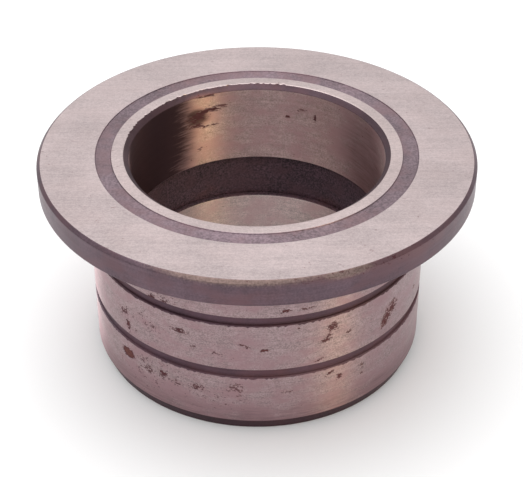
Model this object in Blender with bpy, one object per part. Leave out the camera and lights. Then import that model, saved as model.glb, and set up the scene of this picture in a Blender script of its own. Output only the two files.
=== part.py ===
"""Flanged sleeve bushing, built as it comes apart on a bench.

A ground steel shell carries a flange ring, shrunk on the spigot at its upper end. Two bronze
sleeves are pressed in from the ends against a rib inside the shell. The rib stands back from the
running bore, so the sleeves leave a lubricant reservoir between them.

Metres, +Z up along the bore. The origin is the centre of the lower end, on which the part stands.
"""

import math

import bmesh
import bpy

# Driving dimensions. Depths are measured down from the flange face.
LENGTH = 0.0517                # from the lower end to the flange face
BORE_DIA = 0.0600              # running bore of both sleeves
SLEEVE_DIA = 0.0682            # seat of the sleeves in the shell
SPIGOT_DIA = 0.0752            # seat of the flange ring on the shell
BODY_DIA = 0.0800              # ground outside of the shell
FLANGE_DIA = 0.1024
FLANGE_THICKNESS = 0.0065
RELIEF_DIA = 0.0820            # relief under the flange, which clears the edge of a housing
RELIEF_DEPTH = 0.0005
RESERVOIR_DIA = 0.0624         # inside of the rib
RESERVOIR_TOP = 0.0211         # lower end of the upper sleeve
RESERVOIR_BOTTOM = 0.0329      # upper end of the lower sleeve
GROOVE_DEPTHS = (0.0185, 0.0334)   # upper edges of the two grooves in the body
GROOVE_WIDTH = 0.0022
GROOVE_CUT = 0.0007            # how far the grooves go into the body
SPIGOT_SETBACK = 0.00015       # the spigot's end lies this far below the flange face

# Edges
MOUTH_RADIAL = 0.0013          # chamfer at both mouths of the bore
MOUTH_AXIAL = 0.0011
LEAD_RADIAL = 0.0012           # lead-in at the lower end of the body
LEAD_AXIAL = 0.0029
RIM_CHAMFER = 0.0007           # upper edge of the flange
RIM_BREAK = 0.0004             # lower edge of the flange
SLEEVE_LEAD = 0.0008           # the end of a sleeve that enters the shell first
EDGE_BREAK = 0.0002

FIT_GAP = 0.0003               # between solids that touch
SEGMENTS = 96                  # facets around every turned piece
SHARP_ANGLE = math.radians(25)


def clear_scene():
    for item in list(bpy.data.objects):
        bpy.data.objects.remove(item, do_unlink=True)


def metal(name, colour, roughness):
    """A Principled metal."""
    material = bpy.data.materials.new(name)
    material.use_nodes = True
    shader = material.node_tree.nodes["Principled BSDF"]
    shader.inputs["Base Color"].default_value = (*colour, 1.0)
    shader.inputs["Metallic"].default_value = 1.0
    shader.inputs["Roughness"].default_value = roughness
    material.diffuse_color = (*colour, 1.0)
    return material


def cut_corners(corners):
    """The outline through corners (r, z, cut_in, cut_out), each cut off by the two lengths, which
    lie on the edges that come into it and go out of it. A corner with no cut stays one point."""
    outline = []
    for index, (r, z, cut_in, cut_out) in enumerate(corners):
        before = corners[index - 1]
        after = corners[(index + 1) % len(corners)]
        if not cut_in:
            outline.append((r, z))
            continue
        for (other_r, other_z, *_), cut in ((before, cut_in), (after, cut_out)):
            share = cut / math.hypot(other_r - r, other_z - z)
            outline.append((r + (other_r - r) * share, z + (other_z - z) * share))
    return outline


def turned(name, corners, material):
    """A solid of revolution about Z, from the corners of its cross-section."""
    mesh = bpy.data.meshes.new(name)
    shape = bmesh.new()
    points = [shape.verts.new((r, 0.0, z)) for r, z in cut_corners(corners)]
    edges = [shape.edges.new((points[i - 1], points[i])) for i in range(len(points))]
    bmesh.ops.spin(
        shape,
        geom=points + edges,
        cent=(0.0, 0.0, 0.0),
        axis=(0.0, 0.0, 1.0),
        angle=math.tau,
        steps=SEGMENTS,
        use_merge=True,
    )
    bmesh.ops.recalc_face_normals(shape, faces=shape.faces)
    shape.to_mesh(mesh)
    shape.free()
    mesh.materials.append(material)
    mesh.shade_smooth()
    mesh.set_sharp_from_angle(angle=SHARP_ANGLE)
    piece = bpy.data.objects.new(name, mesh)
    bpy.context.collection.objects.link(piece)
    return piece


def flange_ring(material):
    inner = (SPIGOT_DIA + FIT_GAP) / 2
    relief = RELIEF_DIA / 2
    outer = FLANGE_DIA / 2
    underside = LENGTH - FLANGE_THICKNESS
    seat = underside + RELIEF_DEPTH
    return turned(
        "flange_ring",
        [
            (inner, seat, EDGE_BREAK, EDGE_BREAK),
            (relief, seat, 0, 0),
            (relief, underside, EDGE_BREAK, EDGE_BREAK),
            (outer, underside, RIM_BREAK, RIM_BREAK),
            (outer, LENGTH, RIM_CHAMFER, RIM_CHAMFER),
            (inner, LENGTH, 0, 0),
        ],
        material,
    )


def outer_shell(material):
    body = BODY_DIA / 2
    spigot = (SPIGOT_DIA - FIT_GAP) / 2
    seat = (SLEEVE_DIA + FIT_GAP) / 2
    rib = RESERVOIR_DIA / 2
    end = LENGTH - SPIGOT_SETBACK
    shoulder = LENGTH - FLANGE_THICKNESS + RELIEF_DEPTH - FIT_GAP
    rib_top = LENGTH - RESERVOIR_TOP - FIT_GAP
    rib_bottom = LENGTH - RESERVOIR_BOTTOM + FIT_GAP
    corners = [
        (seat, end, 0, 0),
        (spigot, end, 0, 0),
        (spigot, shoulder, 0, 0),
        (body, shoulder, EDGE_BREAK, EDGE_BREAK),
    ]
    for depth in GROOVE_DEPTHS:
        upper = LENGTH - depth
        lower = upper - GROOVE_WIDTH
        corners += [
            (body, upper, 0, 0),
            (body - GROOVE_CUT, upper, 0, 0),
            (body - GROOVE_CUT, lower, 0, 0),
            (body, lower, EDGE_BREAK, EDGE_BREAK),
        ]
    corners += [
        (body, 0.0, LEAD_AXIAL, LEAD_RADIAL),
        (seat, 0.0, EDGE_BREAK, EDGE_BREAK),
        (seat, rib_bottom, 0, 0),
        (rib, rib_bottom, 0, 0),
        (rib, rib_top, 0, 0),
        (seat, rib_top, 0, 0),
    ]
    return turned("outer_shell", corners, material)


def sleeve(name, mouth, inner_end, material):
    """A sleeve whose chamfered mouth is the bore's end, and whose other end meets the rib."""
    bore = BORE_DIA / 2
    outside = (SLEEVE_DIA - FIT_GAP) / 2
    return turned(
        name,
        [
            (bore, mouth, MOUTH_AXIAL, MOUTH_RADIAL),
            (outside, mouth, 0, 0),
            (outside, inner_end, SLEEVE_LEAD, SLEEVE_LEAD / 2),
            (bore, inner_end, EDGE_BREAK, EDGE_BREAK),
        ],
        material,
    )


def main():
    clear_scene()
    ground_steel = metal("ground_steel", (0.58, 0.50, 0.49), 0.34)
    hardened_steel = metal("hardened_steel", (0.50, 0.43, 0.43), 0.36)
    bronze = metal("bronze", (0.55, 0.41, 0.37), 0.33)
    flange_ring(ground_steel)
    outer_shell(hardened_steel)
    sleeve("upper_bronze_sleeve", LENGTH, LENGTH - RESERVOIR_TOP, bronze)
    sleeve("lower_bronze_sleeve", 0.0, LENGTH - RESERVOIR_BOTTOM, bronze)


main()
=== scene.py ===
"""Looks of the flanged sleeve bushing: a ground steel shell with a flange ring and two bronze sleeves.

Every piece is turned from the cross-section of its own CAD node, with fine edges, wear and pits as
real geometry. Outlines and wear are in millimetres, and a mesh is in metres. Angles round the
bushing are in degrees, 0 at the front (-Y) and positive towards +X.
"""

import math
import random

import bpy
import numpy as np
from mathutils import Matrix, Vector, noise


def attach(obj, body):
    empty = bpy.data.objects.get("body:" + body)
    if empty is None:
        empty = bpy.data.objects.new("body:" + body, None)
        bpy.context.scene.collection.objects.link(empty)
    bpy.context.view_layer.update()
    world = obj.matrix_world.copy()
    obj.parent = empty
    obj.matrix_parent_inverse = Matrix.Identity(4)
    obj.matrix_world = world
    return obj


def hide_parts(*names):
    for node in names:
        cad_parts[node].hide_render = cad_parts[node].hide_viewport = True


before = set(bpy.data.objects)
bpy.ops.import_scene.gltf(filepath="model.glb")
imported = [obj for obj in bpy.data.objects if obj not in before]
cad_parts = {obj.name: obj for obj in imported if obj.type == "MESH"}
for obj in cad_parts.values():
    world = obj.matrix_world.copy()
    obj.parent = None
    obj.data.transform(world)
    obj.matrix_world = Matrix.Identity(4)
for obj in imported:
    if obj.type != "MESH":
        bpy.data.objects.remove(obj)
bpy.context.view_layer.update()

MM = 0.001
SEGMENTS = 480             # faces round each piece
HAIRLINE = 0.02            # what shows of a joint between two pressed pieces
SAME = 0.02                # two lengths this close are the same face
ON_PLANE = 1e-6            # a vertex this near the plane y = 0, in metres, is in the section
EDGE_STEPS = 3             # faces across a softened corner
ARC_SHARE = 0.35           # the most of a short stretch that a softened corner takes
SUPPORT = 0.10             # a row at most this far from each edge keeps the broad faces flat
SPIGOT_END = 1.0           # the shell's points this near the top belong to its spigot
RIB_REACH = 2.0            # the rib stands this near the bore
SKIN = 2.0                 # what lies deeper than this in the shell is inside it

# Softness of a corner, and how far its chips reach into the bright face beside it.
JOINT_EDGE = (0.02, 0.0)
FACE_JOINT_EDGE = (0.15, 0.0)  # beside the ring, which lies just below the face
BROKEN_EDGE = (0.12, 0.0)
GROOVE_EDGE = (0.06, 0.34)
LIP_EDGE = (0.14, 0.40)
MOUTH_EDGE = (0.06, 0.0)       # where the mouth's chamfer runs into the bore
LIP_CHIPS = (165, 262)         # the angles between which the lip is chipped
CHIP_SIZE = 0.75               # length of a coarse chip
FINE_CHIP = 0.4                # size of the finer chips on it, as a share
FINE_CHIP_WEIGHT = 0.5
CHIP_BIAS, CHIP_GAIN = 0.05, 1.8  # added to the noise, then times it, for a depth of 0 to 1

# Finishes, in the order of their materials.
FACE, ROUND, BORE, RIM, RING, GROOVE, LEAD, RECESS, MOUTH, END = range(10)


# ---------------------------------------------------------------- cross-sections from the CAD

def section(node):
    """The node's cross-section at angle +X: a closed outline of (r, z), in order."""
    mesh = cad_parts[node].data
    place = {}
    for vertex in mesh.vertices:
        x, y, z = vertex.co
        if abs(y) < ON_PLANE and x > 0:
            place[vertex.index] = (round(x / MM, 3), round(z / MM, 3))
    links = {point: set() for point in place.values()}
    for edge in mesh.edges:
        a, b = (place.get(i) for i in edge.vertices)
        if a and b and a != b:
            links[a].add(b)
            links[b].add(a)
    start = min(links)
    outline = [start]
    step = min(links[start])
    while step != start:
        outline.append(step)
        step = next(p for p in links[step] if p != outline[-2])
    area = sum(
        outline[i - 1][0] * outline[i][1] - outline[i][0] * outline[i - 1][1]
        for i in range(len(outline))
    )
    return outline if area > 0 else outline[::-1]


SECTIONS = {node: section(node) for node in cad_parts}


def span(node, axis):
    """The least and greatest r (axis 0) or z (axis 1) of a node's section."""
    values = [point[axis] for point in SECTIONS[node]]
    return min(values), max(values)


TOP = span("flange_ring", 1)[1]
BOTTOM = span("outer_shell", 1)[0]
BODY = span("outer_shell", 0)[1]
BORE_R = span("upper_bronze_sleeve", 0)[0]
RING_TOP = span("outer_shell", 1)[1]

SPIGOT = [r for r, z in SECTIONS["outer_shell"] if z > TOP - SPIGOT_END]
RIB = sorted(z for r, z in SECTIONS["outer_shell"] if r < BORE_R + RIB_REACH)

# Faces that touch: (inner or lower piece, outer or upper piece). The CAD keeps a gap there.
TOUCHING_R = [
    (max(SPIGOT), span("flange_ring", 0)[0]),
    (span("upper_bronze_sleeve", 0)[1], min(SPIGOT)),
]
TOUCHING_Z = [
    (span("lower_bronze_sleeve", 1)[1], RIB[0]),
    (RIB[-1], span("upper_bronze_sleeve", 1)[0]),
]


def at_joint(point):
    """Whether a corner of the CAD section borders a joint."""
    r, z = point
    radii = [value for pair in TOUCHING_R for value in pair]
    return z > RING_TOP - SAME and any(abs(r - value) < SAME for value in radii)


def closed_up(value, touching):
    """An r or z, moved where it borders a joint so that only a hairline is left of the gap."""
    for low, high in touching:
        middle = (low + high) / 2
        if abs(value - low) < SAME:
            return middle - HAIRLINE / 2
        if abs(value - high) < SAME:
            return middle + HAIRLINE / 2
    return value


# ---------------------------------------------------------------- fine outlines

def finish_of(node, a, b):
    """The finish of the outline's stretch from a to b."""
    (r1, z1), (r2, z2) = a, b
    level = abs(z1 - z2) < SAME
    upright = abs(r1 - r2) < SAME
    if level and z1 > TOP - SAME:
        return FACE
    if level and z1 > RING_TOP - SAME:
        return RING
    if node == "outer_shell" and upright and r1 > BODY - SAME:
        return ROUND
    if "sleeve" in node and upright and r1 < BORE_R + SAME:
        return BORE
    if level and z1 < BOTTOM + SAME:
        return END
    if upright and any(abs(r1 - r) < SAME for pair in TOUCHING_R for r in pair):
        return RING
    if node == "flange_ring":
        return RIM
    if "sleeve" in node:
        return MOUTH if max(z1, z2) > TOP - SAME else RECESS
    if max(r1, r2) < BODY - SKIN:
        return RECESS
    return LEAD if min(z1, z2) < BOTTOM + SAME else GROOVE


def corner_of(corner, into, finish):
    """The softness and chip reach of the corner between two finishes."""
    if at_joint(corner):
        return FACE_JOINT_EDGE if corner[1] > TOP - SAME else JOINT_EDGE
    kinds = {into, finish}
    if kinds == {FACE, MOUTH}:
        return LIP_EDGE
    if kinds == {BORE, MOUTH}:
        return MOUTH_EDGE
    if kinds == {ROUND, GROOVE}:
        return GROOVE_EDGE
    return BROKEN_EDGE


def arc_finish(into, finish):
    """The finish of the softened corner between two: bright on the lip and at the ends of the
    bore, else the dark one."""
    if {into, finish} in ({FACE, MOUTH}, {BORE, RECESS}):
        return min(into, finish)
    return max(into, finish)


def lerp(a, b, t):
    """The point at share t of the way from a to b."""
    return (a[0] + (b[0] - a[0]) * t, a[1] + (b[1] - a[1]) * t)


def rounded(corner, before, after, radius):
    """The arc that softens a corner, from its end on the side before to its end on the side after."""
    start = lerp(corner, before, radius / math.dist(corner, before))
    end = lerp(corner, after, radius / math.dist(corner, after))
    points = []
    for step in range(EDGE_STEPS + 1):
        t = step / EDGE_STEPS
        points.append(lerp(lerp(start, corner, t), lerp(corner, end, t), t))
    return points


def fine_rows(node, pitch):
    """The node's section as rows (r, z, finish, chip r, chip z). finish is that of the stretch
    that follows. The chip is how far a corner's deepest chip moves it into the bright face, and
    a corner under its bright face has none."""
    outline = SECTIONS[node]
    count = len(outline)
    moved = [(closed_up(r, TOUCHING_R), closed_up(z, TOUCHING_Z)) for r, z in outline]
    stretches = [finish_of(node, outline[i], outline[(i + 1) % count]) for i in range(count)]
    arcs, chips, supports = [], [], []
    for i in range(count):
        before, corner, after = moved[i - 1], moved[i], moved[(i + 1) % count]
        softness, chip = corner_of(outline[i], stretches[i - 1], stretches[i])
        room = min(math.dist(before, corner), math.dist(corner, after))
        arcs.append(rounded(corner, before, after, min(softness, ARC_SHARE * room)))
        bright = after if stretches[i] in (FACE, ROUND) else before
        if bright[1] > corner[1] + SAME:
            chip = 0.0
        tip = lerp(corner, bright, chip / math.dist(corner, bright))
        chips.append((tip[0] - corner[0], tip[1] - corner[1]))
        supports.append(min(SUPPORT, softness) + chip)
    rows = []
    for i in range(count):
        following = (i + 1) % count
        finish = stretches[i]
        rows += [(*p, arc_finish(stretches[i - 1], finish), *chips[i]) for p in arcs[i][:-1]]
        rows.append((*arcs[i][-1], finish, *chips[i]))
        start, end = arcs[i][-1], arcs[following][0]
        length = math.dist(start, end)
        room = length - supports[i] - supports[following]
        if room > 2 * SUPPORT:
            inner = max(1, round(room / pitch[finish]))
            for step in range(inner + 1):
                t = (supports[i] + room * step / inner) / length
                rows.append((*lerp(start, end, t), finish, 0.0, 0.0))
    return rows


# ---------------------------------------------------------------- wear, rust and painted shade

# A spot is whole up to SPOT_EDGE - 1 of its size and fades out at SPOT_EDGE of it.
SPOT_EDGE = 1.6
PIT_DEPTH = 0.05           # for each 1 by which the rust exceeds PIT_FROM, up to PIT_MOST
PIT_FROM, PIT_MOST = 0.7, 0.6

# Marks on the surface: (angle, height, half length round the piece, half height, tilt, strength).
# A strength over 1 is a solid blotch, under 1 a scatter of specks.
BODY_SPOTS = [
    (-49, 12.2, 2.0, 1.15, -6, 1.9),
    (-38, 11.5, 12.0, 5.5, 0, 0.40),
    (-43, 24.5, 7.0, 5.0, 0, 0.40),
    (-12, 9.0, 9.0, 3.0, 0, 0.36),
    (-31, 33.6, 6.0, 1.6, 0, 0.46),
    (-50, 24.3, 1.8, 1.4, 0, 0.85),
    (-48, 21.2, 0.8, 1.9, 10, 1.15),
    (-38, 24.4, 2.4, 1.2, 0, 0.7),
    (-26, 26.7, 2.4, 0.8, -6, 0.95),
    (-42, 13.6, 2.2, 1.4, 0, 0.75),
    (-39, 11.2, 1.6, 1.2, 0, 0.85),
    (-33, 12.1, 1.3, 0.9, -15, 1.1),
    (-27, 10.6, 1.8, 0.8, 0, 0.75),
    (-20, 11.3, 2.4, 1.1, 10, 0.9),
    (-7, 12.6, 2.2, 1.6, 0, 0.7),
    (-13, 22.4, 1.4, 0.6, -8, 0.9),
    (-4, 25.2, 1.4, 0.35, -22, 1.2),
    (2, 24.1, 1.2, 0.3, -10, 1.3),
    (-21, 22.9, 0.8, 0.6, 0, 0.85),
    (20, 19.2, 1.6, 0.5, 8, 0.95),
    (25, 27.8, 1.7, 1.6, 20, 0.92),
    (23, 24.9, 1.6, 0.9, 25, 1.0),
    (31, 24.7, 0.8, 0.6, 0, 0.95),
    (50, 24.6, 2.9, 1.9, 50, 0.95),
    (47, 22.2, 2.2, 1.3, 45, 1.0),
    (24, 14.4, 1.1, 0.5, 30, 1.1),
    (28, 12.6, 0.9, 0.6, 10, 1.2),
    (37, 12.9, 0.5, 1.1, 0, 0.95),
    (37, 10.5, 0.4, 0.6, 0, 1.1),
    (9, 11.2, 1.6, 0.6, 0, 0.7),
    (-36, 33.3, 1.4, 0.8, -10, 1.05),
    (-31, 33.6, 1.3, 0.6, -10, 0.9),
    (9, 34.8, 1.4, 0.5, 6, 1.2),
    (15, 34.7, 2.6, 0.5, 4, 0.8),
    (13, 29.6, 0.6, 0.4, 0, 0.9),
]
# Painted shade: the body darkened in streaks towards its foot, all round, in place of the shadow next
# to the floor.
BODY_PAINTED_SHADE = [
    (0, 2.0, 130.0, 6.0, 0, 0.32),
]
BORE_SPOTS = [
    (-157, 50.3, 5.5, 0.30, 2, 0.95),
    (-162, 47.2, 5.0, 0.35, 0, 0.95),
    (-156, 46.0, 5.2, 0.45, 4, 1.15),
    (-149, 44.8, 3.2, 0.9, 2, 1.0),
    (-148, 42.6, 2.6, 0.9, 4, 0.9),
    (-154, 41.8, 3.9, 0.35, 4, 1.0),
    (-154, 38.5, 0.8, 0.5, 0, 0.9),
    (-151, 35.3, 0.8, 0.5, 0, 0.9),
    (165, 43.4, 0.7, 0.5, 0, 1.1),
    (159, 45.7, 2.2, 0.5, -14, 0.8),
    (151, 44.2, 0.4, 1.5, 0, 1.05),
]
# Painted shade on the bore's left and right walls, where the bore is dark from the light, with a stain
# round the rust at -149.
BORE_SHADE_AND_STAIN = [
    (-117, 43.0, 13.5, 18.0, 0, 1.4),
    (-149, 44.8, 4.0, 2.2, 4, 0.8),
    (116, 40.0, 11.0, 14.0, 0, 0.34),
]
RIM_SPOTS = [
    (40, 50.6, 16.0, 2.0, 0, 0.26),
    (26, 51.3, 15.0, 0.9, 0, 0.46),
]
# Wear on the rim's top edge, coloured partly as a painted warm highlight.
RIM_WEAR_AND_GLINT = [
    (-4, 51.7, 17.0, 0.9, 0, 0.9),
    (22, 51.5, 5.0, 0.9, 0, 1.1),
]
UNSEEN_SPOTS = 34          # more of the same round the sides and back of the body
UNSEEN_ANGLES = (62, 298)
UNSEEN_HEIGHTS = (6, 44)


def scattered(seed, count, angles, heights):
    """Spots of mixed size, at random between two angles and two heights."""
    draw = random.Random(seed)
    return [
        (
            draw.uniform(*angles),
            draw.uniform(*heights),
            draw.uniform(0.5, 2.2),
            draw.uniform(0.4, 1.2),
            draw.uniform(-20, 20),
            draw.uniform(0.7, 1.2),
        )
        for _ in range(count)
    ]


def reached(angles, heights, radius, spots):
    """How strongly the spots reach each point of a cylinder, 0 and up."""
    field = np.zeros_like(angles)
    for angle, height, half_length, half_height, tilt, strength in spots:
        along = (angles - angle + 180) % 360 - 180
        u = np.radians(along) * radius
        v = heights - height
        c, s = math.cos(math.radians(tilt)), math.sin(math.radians(tilt))
        reach = np.hypot((u * c + v * s) / half_length, (v * c - u * s) / half_height)
        field = np.maximum(field, strength * np.clip(SPOT_EDGE - reach, 0, 1))
    return field


def chipped(angles, radius, height):
    """How much of its full chip each point of an edge has, 0 to 1: fine, ragged nicks."""
    depths = []
    for angle in np.radians(angles):
        point = Vector((radius * math.sin(angle), -radius * math.cos(angle), height))
        fine = noise.noise(point / (FINE_CHIP * CHIP_SIZE))
        value = noise.noise(point / CHIP_SIZE) + FINE_CHIP_WEIGHT * fine
        depths.append(min(max(0.0, value + CHIP_BIAS) * CHIP_GAIN, 1.0))
    return np.array(depths)


# ---------------------------------------------------------------- meshes

def turned(name, node, body, pitch, materials, marks):
    """Spins the node's fine outline into a closed mesh, chipped along its edges and pitted by
    its rust, and puts it in the node's place. marks holds its spots of rust, of painted shade
    (with a stain round rust in the bore) and of wear with a painted warm highlight."""
    rows = fine_rows(node, pitch)
    count = len(rows)
    r = np.array([row[0] for row in rows])
    z = np.array([row[1] for row in rows])
    before = np.stack([np.roll(r, 1), np.roll(z, 1)], 1)
    after = np.stack([np.roll(r, -1), np.roll(z, -1)], 1)
    along = after - before
    along /= np.linalg.norm(along, axis=1, keepdims=True)
    out = np.stack([along[:, 1], -along[:, 0]], 1)

    angles = np.arange(SEGMENTS) * 360.0 / SEGMENTS
    grid_r = np.repeat(r[:, None], SEGMENTS, 1)
    grid_z = np.repeat(z[:, None], SEGMENTS, 1)
    grid_a = np.repeat(angles[None, :], count, 0)
    finish = np.array([row[2] for row in rows])
    sides = np.isin(finish, (ROUND, BORE, RIM, MOUTH))[:, None]
    fields = {
        key: reached(grid_a, grid_z, r.max(), marks.get(key, [])) * sides
        for key in ("rust", "painted_shade_and_stain", "wear_and_painted_glint")
    }

    sink = PIT_DEPTH * np.clip(fields["rust"] - PIT_FROM, 0, PIT_MOST)
    grid_r = grid_r - out[:, 0:1] * sink
    grid_z = grid_z - out[:, 1:2] * sink
    lip = (angles > LIP_CHIPS[0]) & (angles < LIP_CHIPS[1])
    for i, (_, _, _, chip_r, chip_z) in enumerate(rows):
        if chip_r or chip_z:
            share = chipped(angles, r[i], round(z[i])) * (lip if z[i] > RING_TOP else 1.0)
            grid_r[i] += chip_r * share
            grid_z[i] += chip_z * share

    radians = np.radians(grid_a)
    places = np.stack(
        [grid_r * np.sin(radians), -grid_r * np.cos(radians), grid_z], 2
    ).reshape(-1, 3) * MM
    i, j = np.meshgrid(np.arange(count), np.arange(SEGMENTS), indexing="ij")
    i2, j2 = (i + 1) % count, (j + 1) % SEGMENTS
    faces = np.stack(
        [i * SEGMENTS + j, i * SEGMENTS + j2, i2 * SEGMENTS + j2, i2 * SEGMENTS + j], 2
    ).reshape(-1, 4)

    mesh = bpy.data.meshes.new(name)
    mesh.from_pydata(places.tolist(), [], faces.tolist())
    used = sorted(set(finish.tolist()))
    for kind in used:
        mesh.materials.append(materials[kind])
    mesh.polygons.foreach_set(
        "material_index", np.repeat([used.index(k) for k in finish], SEGMENTS).astype(np.int32)
    )
    for key, values in fields.items():
        mesh.attributes.new(key, "FLOAT", "POINT").data.foreach_set(
            "value", values.ravel().astype(np.float32)
        )
    mesh.shade_smooth()
    mesh.update()
    piece = bpy.data.objects.new(name, mesh)
    bpy.context.scene.collection.objects.link(piece)
    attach(piece, body)
    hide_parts(node)
    return piece


# ---------------------------------------------------------------- materials

class Graph:
    """A material's node tree, with short calls for the nodes that the finishes share."""

    def __init__(self, name):
        self.material = bpy.data.materials.new(name)
        self.material.use_nodes = True
        self.tree = self.material.node_tree
        self.shader = self.tree.nodes["Principled BSDF"]

    def node(self, kind, **settings):
        made = self.tree.nodes.new(kind)
        for key, value in settings.items():
            setattr(made, key, value)
        return made

    def put(self, value, socket):
        """Links an output, or sets a number or colour, on an input."""
        if isinstance(value, bpy.types.NodeSocket):
            self.tree.links.new(value, socket)
        else:
            socket.default_value = value

    def math(self, operation, a, b=0.0, c=0.0, clamp=False):
        made = self.node("ShaderNodeMath", operation=operation, use_clamp=clamp)
        for index, value in enumerate((a, b, c)):
            self.put(value, made.inputs[index])
        return made.outputs[0]

    def place(self, stretch):
        """The point on the piece in millimetres, times a stretch along X, Y and Z."""
        coordinates = self.node("ShaderNodeTexCoord")
        scaled = self.node("ShaderNodeVectorMath", operation="MULTIPLY")
        self.put(coordinates.outputs["Object"], scaled.inputs[0])
        self.put([s / MM for s in stretch], scaled.inputs[1])
        return scaled.outputs[0]

    def noise(self, stretch, detail=2.0, roughness=0.5, distortion=0.0):
        made = self.node("ShaderNodeTexNoise")
        self.put(self.place(stretch), made.inputs["Vector"])
        self.put(1.0, made.inputs["Scale"])
        self.put(detail, made.inputs["Detail"])
        self.put(roughness, made.inputs["Roughness"])
        self.put(distortion, made.inputs["Distortion"])
        return made.outputs["Fac"]

    def between(self, value, low, high, to_low=0.0, to_high=1.0):
        """value from low to high, carried smoothly to to_low to to_high."""
        made = self.node("ShaderNodeMapRange", interpolation_type="SMOOTHSTEP")
        self.put(value, made.inputs["Value"])
        for key, number in (
            ("From Min", low), ("From Max", high), ("To Min", to_low), ("To Max", to_high)
        ):
            self.put(number, made.inputs[key])
        return made.outputs["Result"]

    def mix(self, share, a, b):
        made = self.node("ShaderNodeMix", data_type="RGBA")
        self.put(share, made.inputs[0])
        self.put(a if isinstance(a, bpy.types.NodeSocket) else (*a, 1.0), made.inputs[6])
        self.put(b if isinstance(b, bpy.types.NodeSocket) else (*b, 1.0), made.inputs[7])
        return made.outputs[2]

    def tinted(self, colour, strength):
        """colour made darker or lighter by strength, a value about 1."""
        made = self.node("ShaderNodeVectorMath", operation="SCALE")
        self.put(colour, made.inputs[0])
        self.put(strength, made.inputs["Scale"])
        return made.outputs[0]

    def bump(self, height, depth, under=None):
        """A normal with height standing up to depth millimetres."""
        made = self.node("ShaderNodeBump")
        self.put(1.0, made.inputs["Strength"])
        self.put(depth * MM, made.inputs["Distance"])
        self.put(height, made.inputs["Height"])
        if under is not None:
            self.put(under, made.inputs["Normal"])
        return made.outputs["Normal"]

    def finish(self, colour, roughness, normal, metallic=1.0):
        self.put(colour, self.shader.inputs["Base Color"])
        self.put(roughness, self.shader.inputs["Roughness"])
        self.put(metallic, self.shader.inputs["Metallic"])
        if normal is not None:
            self.put(normal, self.shader.inputs["Normal"])
        return self.material

    def brushed(self, amount, lines):
        """Stretches highlights across the grinding lines, which are ALONG_X or ROUND_Z."""
        axis, turn = lines
        tangent = self.node("ShaderNodeTangent", direction_type="RADIAL", axis=axis)
        self.put(tangent.outputs[0], self.shader.inputs["Tangent"])
        self.put(amount, self.shader.inputs["Anisotropic"])
        self.put(turn, self.shader.inputs["Anisotropic Rotation"])


# How grinding lines run: the axis of the radial tangent, and the turn of the highlight to it.
ALONG_X = ("X", 0.0)
ROUND_Z = ("Z", 0.25)

RUST = (0.175, 0.058, 0.044)
RUST_MAROON = (0.105, 0.030, 0.036)
RUST_TINGE = (0.165, 0.084, 0.086)
RUST_DARK = (0.055, 0.018, 0.022)
BORE_BROWN = (0.075, 0.034, 0.028)
# Colour of painted shade, darkening the foot of the body and the dark walls of the bore, and of a
# stain round rust in the bore.
PAINTED_SHADE_AND_STAIN = (0.040, 0.019, 0.022)
# Worn bare metal, made warm as a painted highlight in place of the warm lamp's reflection.
WORN_BARE_AND_GLINT = (0.200, 0.139, 0.126)
FACE_BLUSH = (0.50, 0.38, 0.37)
FACE_SPECK = (0.20, 0.12, 0.12)
SHELL_DUST = (0.15, 0.07, 0.065)
BORE_DUST = (0.12, 0.06, 0.05)
PINKER = (0.98, 0.84, 0.88)    # factors on a base colour
WARMER = (1.16, 0.97, 0.92)


def varied(graph, colour, layers):
    """The colour with layers of noise over it. A layer is (noise, amount): its share of light
    and dark, up to amount each way."""
    tone = 1.0
    for layer, amount in layers:
        tone = graph.math("ADD", tone, graph.between(layer, 0.3, 0.7, -amount, amount))
    return graph.tinted(colour, tone)


def mark(graph, key):
    """How strongly the piece is marked with rust, painted shade (with a stain round rust in the bore)
    or wear with a painted warm highlight, as turned() wrote it.
    """
    return graph.node("ShaderNodeAttribute", attribute_name=key).outputs["Fac"]


def shaded_and_stained(graph, base, most):
    """The base colour, darkened in streaks by up to most where painted shade is marked (in the bore
    also a stain round rust).
    """
    streaks = graph.noise((0.16, 0.16, 1.6), detail=4.0, roughness=0.65)
    streaks = graph.math("MULTIPLY_ADD", streaks, 1.8, 0.1)
    shade_and_stain_streaks = graph.math("MULTIPLY", mark(graph, "painted_shade_and_stain"), streaks)
    return graph.mix(graph.between(shade_and_stain_streaks, 0.1, 0.85, 0.0, most), base, PAINTED_SHADE_AND_STAIN)


def rusted(graph, base, runs, deep):
    """The base colour with rust, broken up into specks by a coarse and a fine noise, and the
    rust's mask. runs scales their frequencies along and across the grinding lines. Only the
    strongest spots are as light as the deep colour."""
    along, across = runs
    field = mark(graph, "rust")
    coarse = graph.noise((0.7 * along, 0.7 * along, 0.7 * across), detail=3.0, roughness=0.6)
    fine = graph.noise((1.9 * along, 1.9 * along, 1.9 * across), detail=2.0, roughness=0.6)
    coarse = graph.math("MULTIPLY_ADD", coarse, 2.0, -1.0)
    fine = graph.math("MULTIPLY_ADD", fine, 2.2, -1.1)
    broken = graph.math("ADD", field, graph.math("ADD", coarse, fine))
    strength = graph.between(field, 0.5, 1.1, 0.72, 1.0)
    mask = graph.math("MULTIPLY", graph.between(broken, 0.66, 0.84), strength)
    shade = graph.mix(graph.between(field, 0.9, 1.6), RUST_MAROON, deep)
    shade = graph.mix(graph.noise((1.3, 1.3, 1.3), detail=3.0), RUST_DARK, shade)
    return graph.mix(mask, base, shade), mask


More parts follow.
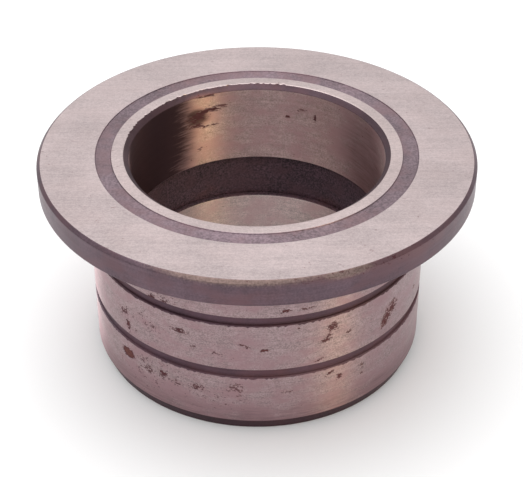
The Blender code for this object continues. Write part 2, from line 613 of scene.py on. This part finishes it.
def ground_flat(name, colour):
    """Surface-ground flat face: fine straight lines along X, faint clouds, a few dark specks."""
    graph = Graph(name)
    lines = graph.noise((0.05, 2.1, 1.0), detail=4.0, roughness=0.7)
    weave = graph.noise((1.1, 2.0, 1.0), detail=3.0, roughness=0.65)
    grain = graph.noise((3.2, 3.2, 3.2), detail=1.0)
    clouds = graph.noise((0.06, 0.08, 0.05), detail=4.0, roughness=0.6)
    base = varied(
        graph, colour, [(lines, 0.06), (weave, 0.07), (grain, 0.08), (clouds, 0.085)]
    )
    warm = graph.noise((0.11, 0.16, 0.1), detail=3.0)
    base = graph.mix(graph.between(warm, 0.35, 0.7, 0.0, 0.16), base, FACE_BLUSH)
    specks = graph.noise((0.6, 0.85, 0.8), detail=4.0, roughness=0.7)
    base = graph.mix(graph.between(specks, 0.65, 0.72, 0.0, 0.65), base, FACE_SPECK)
    height = graph.math("MULTIPLY_ADD", weave, 0.6, lines)
    graph.brushed(0.45, ALONG_X)
    return graph.finish(
        base, graph.between(lines, 0.3, 0.7, 0.31, 0.37), graph.bump(height, 0.006)
    )


def ground_round(name, colour, dust, roughness, grain_share, rust_runs, rust_deep):
    """Cylindrically ground: fine lines round the piece, with dust-like specks, rust, and streaks of
    painted shade.
    """
    graph = Graph(name)
    lines = graph.noise((0.02, 0.02, 2.6), detail=4.0, roughness=0.7)
    mottle = graph.noise((0.55, 0.55, 0.9), detail=4.0, roughness=0.62)
    grain = graph.noise((2.6, 2.6, 3.4), detail=2.0, roughness=0.6)
    clouds = graph.noise((0.07, 0.07, 0.12), detail=4.0, roughness=0.6)
    base = varied(
        graph, colour,
        [
            (lines, 0.10), (mottle, 0.11 * grain_share), (grain, 0.22 * grain_share),
            (clouds, 0.06),
        ],
    )
    # The blush is also pinker where painted shade is marked.
    pink = graph.noise((0.16, 0.16, 0.3), detail=4.0, roughness=0.6)
    pink = graph.math("MULTIPLY_ADD", mark(graph, "painted_shade_and_stain"), 0.5, pink)
    blush = tuple(c * k for c, k in zip(colour, PINKER))
    base = graph.mix(graph.between(pink, 0.38, 0.72, 0.0, 0.9), base, blush)
    specks = graph.noise((1.1, 1.1, 1.7), detail=3.0, roughness=0.65)
    base = graph.mix(graph.between(specks, 0.66, 0.74, 0.0, 0.7), base, dust)

    base, rust = rusted(graph, shaded_and_stained(graph, base, 0.88), rust_runs, rust_deep)
    shine = graph.between(lines, 0.3, 0.7, roughness - 0.03, roughness + 0.03)
    shine = graph.math("MULTIPLY_ADD", rust, 0.4, shine, clamp=True)
    height = graph.math("MULTIPLY_ADD", mottle, 0.6, lines)
    normal = graph.bump(rust, 0.02, graph.bump(height, 0.006))
    graph.brushed(0.93, ROUND_Z)
    graph.put(0.2, graph.shader.inputs["Specular IOR Level"])
    return graph.finish(base, shine, normal, graph.math("MULTIPLY_ADD", rust, -0.95, 1.0))


def black_turned(name, colour, roughness, brown, brush=0.3, metallic=0.9, grit=0.14):
    """Left as turned and hardened: dark scale over lathe lines, brown where it has rusted, lighter
    where it is worn with a painted warm highlight there, and darkened where painted shade is marked."""
    graph = Graph(name)
    lines = graph.noise((0.03, 0.03, 1.6), detail=4.0, roughness=0.65)
    clouds = graph.noise((0.11, 0.11, 0.11), detail=5.0, roughness=0.6, distortion=0.4)
    grain = graph.noise((2.2, 2.2, 2.2), detail=3.0)
    base = varied(graph, colour, [(lines, 0.10), (clouds, 0.16), (grain, grit)])
    warmer = tuple(c * k for c, k in zip(colour, WARMER))
    hues = graph.noise((0.13, 0.13, 0.2), detail=4.0, roughness=0.6)
    base = graph.mix(graph.between(hues, 0.42, 0.64, 0.0, 0.6), base, warmer)
    patches = graph.noise((0.05, 0.05, 0.09), detail=5.0, roughness=0.62)
    base = graph.mix(graph.between(patches, 0.53, 0.72, 0.0, brown), base, RUST)
    tinge = graph.math("MULTIPLY", mark(graph, "rust"), graph.between(clouds, 0.35, 0.65, 0.8, 2.2))
    base = graph.mix(tinge, base, RUST_TINGE)
    ragged_wear_and_glint = graph.math("MULTIPLY_ADD", grain, 0.5, mark(graph, "wear_and_painted_glint"))
    bare_and_glint = varied(graph, WORN_BARE_AND_GLINT, [(grain, 0.22), (clouds, 0.1)])
    base = graph.mix(graph.between(ragged_wear_and_glint, 0.40, 1.15), base, bare_and_glint)
    base, _ = rusted(graph, shaded_and_stained(graph, base, 0.45), (1.0, 1.2), RUST_MAROON)
    height = graph.math("MULTIPLY_ADD", grain, 0.7, lines)
    graph.brushed(brush, ROUND_Z)
    return graph.finish(
        base, graph.between(grain, 0.3, 0.7, roughness - 0.05, roughness + 0.05),
        graph.bump(height, 0.02), metallic,
    )


def turned_end(name, colour):
    """A faced end: fine rings about the bore."""
    graph = Graph(name)
    split = graph.node("ShaderNodeSeparateXYZ")
    graph.put(graph.place((1.0, 1.0, 1.0)), split.inputs[0])
    flat = graph.node("ShaderNodeCombineXYZ")
    graph.put(split.outputs[0], flat.inputs[0])
    graph.put(split.outputs[1], flat.inputs[1])
    length = graph.node("ShaderNodeVectorMath", operation="LENGTH")
    graph.put(flat.outputs[0], length.inputs[0])
    rings = graph.node("ShaderNodeTexNoise", noise_dimensions="1D")
    graph.put(length.outputs["Value"], rings.inputs["W"])
    graph.put(2.2, rings.inputs["Scale"])
    graph.put(4.0, rings.inputs["Detail"])
    clouds = graph.noise((0.07, 0.07, 0.07), detail=4.0)
    base = varied(graph, colour, [(rings.outputs["Fac"], 0.09), (clouds, 0.07)])
    graph.brushed(0.5, ROUND_Z)
    return graph.finish(base, 0.36, graph.bump(rings.outputs["Fac"], 0.012))


RIM_DARK = black_turned(
    "flange_rim_black", (0.121, 0.081, 0.099), roughness=0.42, brown=0.12
)
RING_DARK = black_turned(
    "spigot_end_black", (0.198, 0.145, 0.168), roughness=0.40, brown=0.1, brush=0.7, grit=0.3
)
GROOVE_DARK = black_turned(
    "groove_black", (0.088, 0.045, 0.064), roughness=0.6, brown=0.2, metallic=0.4
)
# Dark turned scale on the lead-in at the foot, made near black as painted shade next to the floor.
LEAD_IN_SHADED_DARK = black_turned(
    "lead_in_black_painted_shade", (0.035, 0.008, 0.016), roughness=0.6, brown=0.1, metallic=0.4
)
RECESS_DARK = black_turned(
    "recess_black", (0.068, 0.038, 0.052), roughness=0.6, brown=0.25, metallic=0.4, grit=0.7
)
MOUTH_DARK = black_turned("mouth_black", (0.080, 0.052, 0.064), roughness=0.5, brown=0.15)
FACED_END = turned_end("faced_end", (0.42, 0.345, 0.34))
STEEL_FACE = ground_flat("ground_flange_face", (0.462, 0.385, 0.386))
BRONZE_FACE = ground_flat("ground_sleeve_face", (0.468, 0.388, 0.385))
STEEL_ROUND = ground_round(
    "ground_body", (0.35, 0.258, 0.266), SHELL_DUST, roughness=0.38, grain_share=1.0,
    rust_runs=(1.0, 1.5), rust_deep=RUST,
)
BRONZE_BORE = ground_round(
    "ground_bore", (0.46, 0.335, 0.325), BORE_DUST, roughness=0.50, grain_share=0.9,
    rust_runs=(0.45, 1.9), rust_deep=BORE_BROWN,
)
# The same bronze as the upper bore with a lighter base colour: painted light deep in the bore.
LIGHTER_LOWER_BORE = ground_round(
    "ground_lower_bore_painted_light", (0.57, 0.465, 0.45), BORE_DUST, roughness=0.48, grain_share=0.9,
    rust_runs=(0.45, 1.9), rust_deep=BORE_BROWN,
)
MATERIALS = {
    FACE: STEEL_FACE,
    ROUND: STEEL_ROUND,
    BORE: BRONZE_BORE,
    RIM: RIM_DARK,
    RING: RING_DARK,
    GROOVE: GROOVE_DARK,
    LEAD: LEAD_IN_SHADED_DARK,
    RECESS: RECESS_DARK,
    MOUTH: MOUTH_DARK,
    END: FACED_END,
}

# Roughly the millimetres between two rows of each finish.
PITCH = {
    FACE: 3.4, ROUND: 0.8, BORE: 0.9, RIM: 1.3, RING: 1.7, GROOVE: 2.2, LEAD: 2.2, RECESS: 2.2,
    MOUTH: 2.2, END: 2.0,
}


# ---------------------------------------------------------------- the pieces

turned(
    "flange_ring_fine", "flange_ring", "root", PITCH, MATERIALS,
    {"rust": RIM_SPOTS, "wear_and_painted_glint": RIM_WEAR_AND_GLINT},
)
unseen = scattered(7, UNSEEN_SPOTS, UNSEEN_ANGLES, UNSEEN_HEIGHTS)
shell = turned(
    "outer_shell_fine", "outer_shell", "root", PITCH, MATERIALS,
    {"rust": BODY_SPOTS + unseen, "painted_shade_and_stain": BODY_PAINTED_SHADE},
)
upper_sleeve = turned(
    "upper_bronze_sleeve_fine", "upper_bronze_sleeve", "root", PITCH,
    MATERIALS | {FACE: BRONZE_FACE}, {"rust": BORE_SPOTS, "painted_shade_and_stain": BORE_SHADE_AND_STAIN},
)
lower_sleeve = turned(
    "lower_bronze_sleeve_fine", "lower_bronze_sleeve", "root", PITCH,
    MATERIALS | {BORE: LIGHTER_LOWER_BORE}, {},
)


# ---------------------------------------------------------------- floor, light and camera

FLOOR_HALF = 3.0           # metres from the middle of the floor to its sides
FLOOR_COLOUR = (0.9, 0.9, 0.9, 1.0)
FLOOR_ROUGHNESS = 0.9


def floor():
    """A plain pale floor under the part."""
    corners = [
        (x * FLOOR_HALF, y * FLOOR_HALF, BOTTOM * MM) for x, y in ((-1, -1), (1, -1), (1, 1), (-1, 1))
    ]
    mesh = bpy.data.meshes.new("floor")
    mesh.from_pydata(corners, [], [(0, 1, 2, 3)])
    graph = Graph("pale_floor")
    graph.finish(FLOOR_COLOUR, FLOOR_ROUGHNESS, None, 0.0)
    mesh.materials.append(graph.material)
    made = bpy.data.objects.new("floor", mesh)
    bpy.context.scene.collection.objects.link(made)


def toward(azimuth, elevation):
    """The unit vector of a direction, azimuth 0 at the camera's side and positive to its right."""
    a, e = math.radians(azimuth), math.radians(elevation)
    return Vector((math.sin(a) * math.cos(e), -math.cos(a) * math.cos(e), math.sin(e)))


LIGHT_TARGET = Vector((0, 0, 0.03))


def area_light(name, azimuth, elevation, distance, size, power, colour=(1, 1, 1)):
    """A soft light, aimed at the middle of the bushing."""
    data = bpy.data.lights.new(name, "AREA")
    data.shape = "RECTANGLE"
    data.size, data.size_y = size
    data.energy = power
    data.color = colour
    made = bpy.data.objects.new(name, data)
    bpy.context.scene.collection.objects.link(made)
    made.location = LIGHT_TARGET + toward(azimuth, elevation) * distance
    made.rotation_euler = (LIGHT_TARGET - made.location).to_track_quat("-Z", "Y").to_euler()
    return made


def lit(name, pieces):
    """A collection of the pieces that a light shows on. The others and the floor stay out of it."""
    made = bpy.data.collections.new(name)
    for piece in pieces:
        made.objects.link(piece)
    return made


# Soft bright regions of the studio: (azimuth, elevation, edge, full, amount), where edge
# and full are the cosines of the angles from the middle at which a region starts and is whole.
STUDIO_BASE = 0.56
STUDIO = [
    (178, 45, 0.30, 0.90, 0.54),
    (0, 45, 0.50, 0.95, 0.12),
]


def sky():
    """The pale studio around the part, with its soft bright regions."""
    world = bpy.data.worlds.new("studio")
    bpy.context.scene.world = world
    world.use_nodes = True
    nodes, links = world.node_tree.nodes, world.node_tree.links
    background = nodes["Background"]
    background.inputs["Color"].default_value = (1, 1, 1, 1)
    coordinates = nodes.new("ShaderNodeTexCoord")
    total = None
    for azimuth, elevation, edge, full, amount in STUDIO:
        dot = nodes.new("ShaderNodeVectorMath")
        dot.operation = "DOT_PRODUCT"
        links.new(coordinates.outputs["Generated"], dot.inputs[0])
        dot.inputs[1].default_value = toward(azimuth, elevation)
        region = nodes.new("ShaderNodeMapRange")
        region.interpolation_type = "SMOOTHSTEP"
        links.new(dot.outputs["Value"], region.inputs["Value"])
        for key, number in (
            ("From Min", edge), ("From Max", full), ("To Min", 0.0), ("To Max", amount)
        ):
            region.inputs[key].default_value = number
        added = nodes.new("ShaderNodeMath")
        links.new(region.outputs["Result"], added.inputs[0])
        if total is None:
            added.inputs[1].default_value = STUDIO_BASE
        else:
            links.new(total, added.inputs[1])
        total = added.outputs[0]
    links.new(total, background.inputs["Strength"])


# The photograph's view: from the front (-Y), angles in degrees, lens and sensor in millimetres.
CAMERA_ELEVATION = 35.57
CAMERA_ROLL = -0.15
CAMERA_LENS, CAMERA_SENSOR = 98.5, 36.0
CAMERA_DISTANCE = 0.349    # metres from the point it is aimed at
CAMERA_AIM = Vector((0.0010, 0.0, ((TOP + BOTTOM) / 2 + 0.24) * MM))


def camera():
    elevation, roll = math.radians(CAMERA_ELEVATION), math.radians(CAMERA_ROLL)
    data = bpy.data.cameras.new("camera")
    data.lens = CAMERA_LENS
    data.sensor_width = CAMERA_SENSOR
    made = bpy.data.objects.new("camera", data)
    bpy.context.scene.collection.objects.link(made)
    away = Vector((0, -math.cos(elevation), math.sin(elevation)))
    place = CAMERA_AIM + away * CAMERA_DISTANCE
    turn = (CAMERA_AIM - place).to_track_quat("-Z", "Y").to_matrix().to_4x4()
    made.matrix_world = Matrix.Translation(place) @ turn @ Matrix.Rotation(roll, 4, "Z")
    bpy.context.scene.camera = made


floor()
sky()
area_light("key", azimuth=-55, elevation=79, distance=0.9, size=(1.3, 1.3), power=8.0)
strip = area_light(
    "warm_strip", azimuth=51, elevation=34, distance=0.55, size=(0.15, 0.42), power=1.4,
    colour=(0.95, 0.74, 0.34),
)
strip.light_linking.receiver_collection = lit("warmed", (shell, upper_sleeve, lower_sleeve))
side_panel = area_light(
    "side_panel", azimuth=-134, elevation=4, distance=0.6, size=(0.4, 0.12), power=2.0
)
side_panel.light_linking.receiver_collection = lit("edged", (shell,))
camera()
bpy.context.scene.view_settings.view_transform = "Standard"
